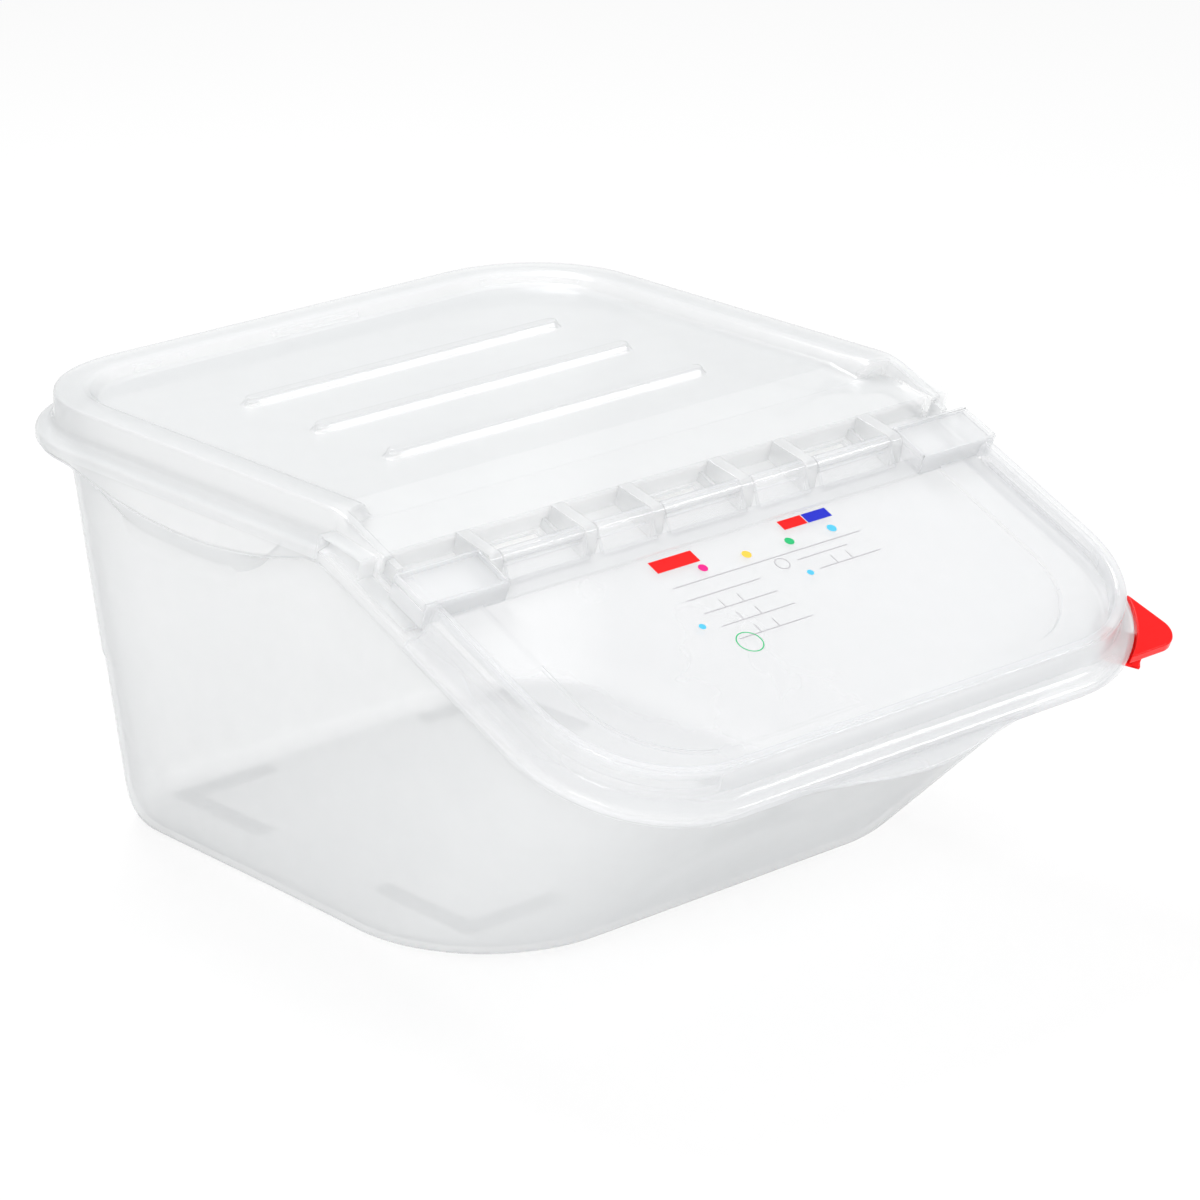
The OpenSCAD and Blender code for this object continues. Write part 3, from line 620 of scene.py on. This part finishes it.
station_parts = []
for middle in station_pitch * np.arange(-1, 2):
    for side in (-1, 1):
        cheek_middle = middle + side * (inner_half + cheek_width / 2)
        station_parts.append(prism(rounded(cheek, 0.8 * mm, closed=True), cheek_middle - cheek_width / 2,
            cheek_middle + cheek_width / 2, sideways))
        block = middle + side * (inner_half - 3.4 * mm)
        station_parts.append(prism(rectangle(28.5 * mm, 38 * mm, well_n, -6.5 * mm), block - block_half,
            block + block_half, sideways))
    station_parts.append(prism(circle(hinge_place, hinge_n, pin_r), middle - inner_half - pin_root,
        middle + inner_half + pin_root, sideways))
for side in (-1, 1):
    stub = side * (half - 3.8 * mm)
    station_parts.append(prism(rectangle(31.2 * mm, 38 * mm, well_n, -1.5 * mm), stub - stub_half,
        stub + stub_half, sideways))
make_piece("cover_hinge_stations", joined(station_parts), clear_cover, "cover",
    bevel=0.35 * mm)

# The flap is one clear polypropylene moulding that closes the sloping mouth: a narrow ridge with a
# skirt, a shelf inside it, and the clear panel one step lower.
shelf_n = -7.2 * mm
panel_n = shelf_n - 1.5 * mm
shelf_wall = 1.8 * mm
panel_side = half - 28 * mm
panel_front = slope_length - 16.5 * mm
panel_corner = 46 * mm
notch_o = -10 * mm
flap_columns = np.linspace(0, 1, 17)
near_places = np.array([63, 63.4, 63.9, 64.3, 66, 70, 75]) * mm
far_share = np.linspace(0, 1, 14)[1:-1]
flap_first = len(flap_columns) - 1 + corner_steps
flap_rows = len(near_places) + len(far_share)


def flap_line(n, o=0.0, width=half, length=slope_length, radius=front_radius):
    """A line on the flap, from its rear end at the side to the middle of its front, round a plan of
    the given width, length past the bend and corner radius."""
    stop = flat_length + length - radius
    near = flat_length + near_places
    places = np.concatenate([near, near[-1] + (stop - near[-1]) * far_share])
    sides = (places - side_start) / (stop - side_start)
    x, s = plan(width, 0, flat_length + length, rear_radius, radius, sides, flap_columns, o)
    return on_lid(x[flap_first:], s[flap_first:], n)


def flap_face(slim, skirt, under):
    """One face of the flap: its rim's section, the shelf, the step down and the panel, and the strip
    of shelf behind the rim's rear end."""
    lines = rounded(np.stack([flap_line(n, o) for o, n in np.concatenate([slim, skirt])]), 0.7 * mm)
    past_back = np.arange(flap_rows + corner_steps + len(flap_columns) - 1) > 1
    step_foot = np.where(past_back, panel_n, shelf_n)
    edges = [flap_line(n - under, o, panel_side, panel_front, panel_corner)
        for o, n in ((0.5 * mm, shelf_n), (-0.5 * mm, step_foot))]
    shelf = np.stack([lines[0], flap_line(shelf_n - under, notch_o), *edges])
    panel = across(edges[1][:flap_rows + corner_steps], flap_columns)
    row_x = np.concatenate([[-shelf[1, 0, 0], -shelf[2, 0, 0]], panel[0, :, 0], shelf[2:0:-1, 0, 0]])
    strip = on_lid(row_x, flat_length + np.array([54.5, 55, 59, 63])[:, None] * mm, shelf_n - under)
    return [grid_shell(part * [side, 1, 1]) for part in (lines, shelf) for side in (1, -1)] + [
        grid_shell(panel), grid_shell(strip)]


# The second colour is the grey seen edge-on, partly painted shade
clear_flap = moulded_plastic("clear_flap_plastic", (0.93, 0.935, 0.945), (0.5, 0.52, 0.54),
    thin=0.13, thick=0.85, roughness=0.1, cloud=0.1)
flap_shell = walled(flap_face(slim_upper, skirt_upper, 0), flap_face(slim_lower, skirt_lower, shelf_wall))
make_piece("flap_panel", flap_shell, clear_flap, "flap", "flip_lid", sharp=50)

# Moulded with the flap: the lifting lip at its front, the C-shaped knuckles that snap over the
# pins, and plain rolled edges between the hinge stations.
knuckle_r = 3.7 * mm
bore_r = 1.95 * mm
end_gap = 0.5 * mm
full_turn = 2 * math.pi
slot_angle = math.radians(-125)
slot_outer = math.asin(1.5 * mm / knuckle_r)
slot_inner = math.asin(1.5 * mm / bore_r)
web_under, web_over = math.radians(-28), math.radians(50)
web = np.array([(54.0, -9.0), (56.5, -9.0), (56.5, -7.2)]) * mm


def hinge_arc(radius, start, stop, count):
    """Points on a circle round the hinge axis, between two angles."""
    angle = np.linspace(start, stop, count)
    return np.stack([hinge_place + radius * np.cos(angle), hinge_n + radius * np.sin(angle)], axis=1)


knuckle = np.concatenate([
    hinge_arc(knuckle_r, slot_angle + slot_outer, web_under, 9),
    web,
    hinge_arc(knuckle_r, web_over, slot_angle + full_turn - slot_outer, 17),
    hinge_arc(bore_r, slot_angle + full_turn - slot_inner, slot_angle + slot_inner, 19),
])
rolled = np.concatenate([hinge_arc(knuckle_r, web_over - full_turn, web_under, 29), web])
knuckle_half = inner_half - end_gap
edge_half = (station_pitch - station_width) / 2 - end_gap
flap_trims = [prism(knuckle, middle - knuckle_half, middle + knuckle_half, sideways)
    for middle in station_pitch * np.arange(-1, 2)]
flap_trims += [prism(rolled, middle - edge_half, middle + edge_half, sideways)
    for middle in (-station_pitch / 2, station_pitch / 2)]
lifting_lip = lip_outline(lid_length + 8 * mm, 9.5 * mm, 0.8 * mm)
flap_trims.append(prism(lifting_lip, -19.5 * mm, -17.7 * mm, on_lid))
make_piece("flap_lip_and_knuckles", joined(flap_trims), clear_flap, "flap",
    bevel=0.3 * mm)

# The two ears are moulded with the flap as well: each is an arch over the cover's cut side ridge,
# and low walls round its top make it a shallow tray.
ear_inner = station_pitch + station_width / 2 + 0.8 * mm
ear_outer = half + 3 * mm
ear_rear, ear_front = 42 * mm, 63.5 * mm
ear_top = 1.2 * mm
ear_inner_low, ear_outer_low, ear_rear_low = -8.8 * mm, -10.5 * mm, -4 * mm
ear_wall = 1.2 * mm
tray_depth = 2.2 * mm
tray_floor = ear_top - tray_depth


def ear_face(side, t):
    """One face of an ear's arch, t inside its outer face: its section across, carried down the slope."""
    section = np.array([(ear_inner + t, ear_inner_low), (ear_inner + t, tray_floor - t),
        (ear_outer - t, tray_floor - t), (ear_outer - t, ear_outer_low)])
    x, n = rounded(section, 1.5 * mm, 5).T
    s = flat_length + np.linspace(ear_rear + 0.2 * mm, ear_front - 0.2 * mm, 6)
    return [grid_shell(on_lid(side * x, s[:, None], n))]


ears = []
rear_end = rectangle(ear_rear, ear_rear + ear_wall, ear_rear_low, ear_top)
front_end = rectangle(ear_front - ear_wall, ear_front, ear_inner_low, ear_top)
tray_side = rectangle(ear_rear + ear_wall, ear_front - ear_wall, tray_floor - 1 * mm, ear_top)
for side in (-1, 1):
    ears.append(walled(ear_face(side, 0), ear_face(side, ear_wall)))
    for end in (rear_end, front_end):
        ears.append(prism(end, side * ear_inner, side * ear_outer, sideways))
    for edge in (ear_inner, ear_outer - ear_wall):
        ears.append(prism(tray_side, side * edge, side * (edge + ear_wall), sideways))
make_piece("flap_ears", joined(ears), clear_flap, "flap", bevel=0.3 * mm)

# The clip is a small glossy red moulding. Its tongue plugs into the pocket under the rim's right
# front corner, and its crescent fills the corner outside the flap's skirt.
clip_red = bpy.data.materials.new("clip_red_plastic")
clip_red.use_nodes = True
clip_shader = clip_red.node_tree.nodes["Principled BSDF"]
clip_shader.inputs["Roughness"].default_value = 0.3
clip_shader.inputs["Specular IOR Level"].default_value = 0.2
red_place = add_node(clip_red, "ShaderNodeTexCoord").outputs["Object"]
red_noise = add_node(clip_red, "ShaderNodeTexNoise", red_place, Scale=90, Detail=2)
red_ramp = add_node(clip_red, "ShaderNodeValToRGB", red_noise.outputs[0])
red_ramp.color_ramp.elements[0].color = (0.95, 0.002, 0.002, 1)
red_ramp.color_ramp.elements[1].color = (1, 0.004, 0.004, 1)
clip_red.node_tree.links.new(red_ramp.outputs[0], clip_shader.inputs["Base Color"])
clip_side, clip_front, clip_point = 65.5 * mm, 59 * mm, 11 * mm
clip_start = 27 * mm
clip_inner = front_radius + flange_width + 0.9 * mm
clip_low, clip_high = -20 * mm, -16 * mm
tongue_low = -26.5 * mm


def clip_outline():
    """The crescent: a rounded corner outside, and inside the circle round the flap's skirt."""
    angle = np.linspace(math.asin(clip_front / clip_inner), math.asin(clip_start / clip_inner), 25)
    inside = clip_inner * np.stack([np.cos(angle), np.sin(angle)], axis=1)
    inside[:, 0] = np.minimum(inside[:, 0], clip_side - 0.4 * mm)
    bow = np.linspace(0, math.pi / 2, 13)
    outside = np.stack([clip_side - clip_point + clip_point * np.cos(bow),
        clip_front - clip_point + clip_point * np.sin(bow)], axis=1)
    return np.concatenate([inside, outside]) + [corner_x, corner_s]


clip_shell = joined([
    prism(clip_outline(), clip_low, clip_high, on_lid),
    prism(rectangle(front_radius - 3.7 * mm, front_radius + 13.8 * mm, -tongue_width / 2, tongue_width / 2),
        tongue_low, tongue_low + 1.8 * mm, on_corner),
    prism(rectangle(clip_inner + 0.3 * mm, clip_inner + 3.5 * mm, -tongue_width / 2, tongue_width / 2),
        tongue_low, clip_low + 1 * mm, on_corner),
])
make_piece("red_corner_clip", clip_shell, clip_red, "clip", "colour_clip", bevel=0.6 * mm)

# The label is print on the flap's clear panel: plain blocks and dots of colour, and ruled lines
# with ticks to write between. It is a skin of ink, a twentieth of a millimetre thick.
ink_low, ink_high = panel_n - 0.01 * mm, panel_n + 0.05 * mm


def print_ink(name, colour):
    """Printing ink: matt, with a fine speckle that darkens the colour a little."""
    ink = bpy.data.materials.new(name)
    ink.use_nodes = True
    shader = ink.node_tree.nodes["Principled BSDF"]
    shader.inputs["Roughness"].default_value = 0.6
    shader.inputs["Specular IOR Level"].default_value = 0.15
    where = add_node(ink, "ShaderNodeTexCoord").outputs["Object"]
    speckle = add_node(ink, "ShaderNodeTexNoise", where, Scale=1500)
    ramp = add_node(ink, "ShaderNodeValToRGB", speckle.outputs[0])
    ramp.color_ramp.elements[0].color = (*(0.88 * part for part in colour), 1)
    ramp.color_ramp.elements[1].color = (*colour, 1)
    ink.node_tree.links.new(ramp.outputs[0], shader.inputs["Base Color"])
    return ink


def on_label(a, b, c):
    """An outline in x and the distance past the bend, on the clear panel."""
    return on_lid(a, flat_length + b, c)


def printed(outline):
    """A mark of ink with the given outline, in millimetres."""
    return prism(np.asarray(outline, float) * mm, ink_low, ink_high, on_label)


def printed_ring(x, d, radius, width):
    """A printed ring as a closed band: four edges of its section, each a circle."""
    section = ((radius, ink_low), (radius - width, ink_low), (radius - width, ink_high), (radius, ink_high),
        (radius, ink_low))
    return grid_shell(np.stack([on_label(*(circle(x, d, r, 32) * mm).T, n) for r, n in section]), join=True)


label_marks = {
    "red": ((0.85, 0.01, 0.01), [printed(rectangle(-42, -19, 66.5, 73.5)),
        printed(rectangle(30, 43, 65.5, 71))]),
    "blue": ((0.02, 0.03, 0.55), [printed(rectangle(43.6, 57, 65.5, 71))]),
    "magenta": ((0.8, 0.02, 0.25), [printed(circle(-21, 77.5, 2.2))]),
    "yellow": ((0.9, 0.6, 0.08), [printed(circle(3, 77.5, 2.2))]),
    "green": ((0.03, 0.5, 0.18), [printed(circle(27, 77.5, 2.2)), printed_ring(-33, 122, 6, 0.5)]),
    "cyan": ((0.1, 0.55, 0.8), [printed(circle(51, 77.5, 2.2)), printed(circle(-46, 107, 1.6)),
        printed(circle(22, 97, 1.6))]),
    "grey": ((0.35, 0.33, 0.36), [printed_ring(14, 88, 3.4, 0.3)]),
}
ruled = [(-42, 62, 83.5)] + [(-42 + 2 * i, -2 + 2 * i, 92 + 9 * i) for i in range(4)]
ruled += [(22, 50, 88.5), (28, 62, 96.5)]
for start, stop, d in ruled:
    label_marks["grey"][1].append(printed(rectangle(start, stop, d - 0.15, d + 0.15)))
for start, stop, d in ruled[2:5] + ruled[6:]:
    for tick in (start + 0.3 * (stop - start), start + 0.55 * (stop - start)):
        label_marks["grey"][1].append(printed(rectangle(tick - 0.15, tick + 0.15, d - 5, d - 0.3)))
for name, (colour, marks) in label_marks.items():
    make_piece("label_" + name, joined(marks), print_ink("label_ink_" + name, colour), "flap")

# The studio: a white floor that keeps a soft shadow, three soft lamps, and a surround that only
# the camera sees as white. The light and the reflections that it gives are a light grey.
world = bpy.data.worlds.new("studio")
bpy.context.scene.world = world
world.use_nodes = True
surround = world.node_tree.nodes["Background"]
surround.inputs["Color"].default_value = (1, 1, 1, 1)
rays = world.node_tree.nodes.new("ShaderNodeLightPath")
strength = world.node_tree.nodes.new("ShaderNodeMapRange")
strength.inputs["To Min"].default_value = 0.62
strength.inputs["To Max"].default_value = 1
world.node_tree.links.new(rays.outputs["Is Camera Ray"], strength.inputs[0])
world.node_tree.links.new(strength.outputs[0], surround.inputs["Strength"])

floor_mesh = bpy.data.meshes.new("floor")
floor_mesh.from_pydata([(-3, -3, 0), (3, -3, 0), (3, 3, 0), (-3, 3, 0)], [], [(0, 1, 2, 3)])
floor = bpy.data.objects.new("floor", floor_mesh)
bpy.context.collection.objects.link(floor)
floor_paint = bpy.data.materials.new("floor_paint")
floor_paint.use_nodes = True
floor_links = floor_paint.node_tree.links
paint = add_node(floor_paint, "ShaderNodeBsdfDiffuse", Color=(0.92, 0.92, 0.92, 1))
white = add_node(floor_paint, "ShaderNodeEmission")
camera_ray = add_node(floor_paint, "ShaderNodeLightPath").outputs["Is Camera Ray"]
share = add_node(floor_paint, "ShaderNodeMath", camera_ray)
share.operation = "MULTIPLY"
share.inputs[1].default_value = 0.8
mix = add_node(floor_paint, "ShaderNodeMixShader", share.outputs[0])
floor_links.new(paint.outputs[0], mix.inputs[1])
floor_links.new(white.outputs[0], mix.inputs[2])
floor_links.new(mix.outputs[0], floor_paint.node_tree.nodes["Material Output"].inputs["Surface"])
floor_mesh.materials.append(floor_paint)


def soft_lamp(name, place, target, size, power):
    """A square area lamp at place, turned to face target."""
    lamp = bpy.data.lights.new(name, "AREA")
    lamp.size = size
    lamp.energy = power
    stand = bpy.data.objects.new(name, lamp)
    bpy.context.collection.objects.link(stand)
    away = np.subtract(place, target)
    away = away / np.linalg.norm(away)
    side = np.cross([0, 0, 1], away)
    side = side / np.linalg.norm(side)
    stand.matrix_world = turned((side, np.cross(away, side), away), place)


soft_lamp("key_lamp", (-1.2, -1.1, 1.0), (0, 0, 0.1), 0.6, 14)
soft_lamp("rear_lamp", (0.2, 0.8, 1.5), (0, 0, 0.15), 0.6, 15)
soft_lamp("right_lamp", (1.25, -1.2, 1.05), (0, 0, 0.15), 0.45, 8)
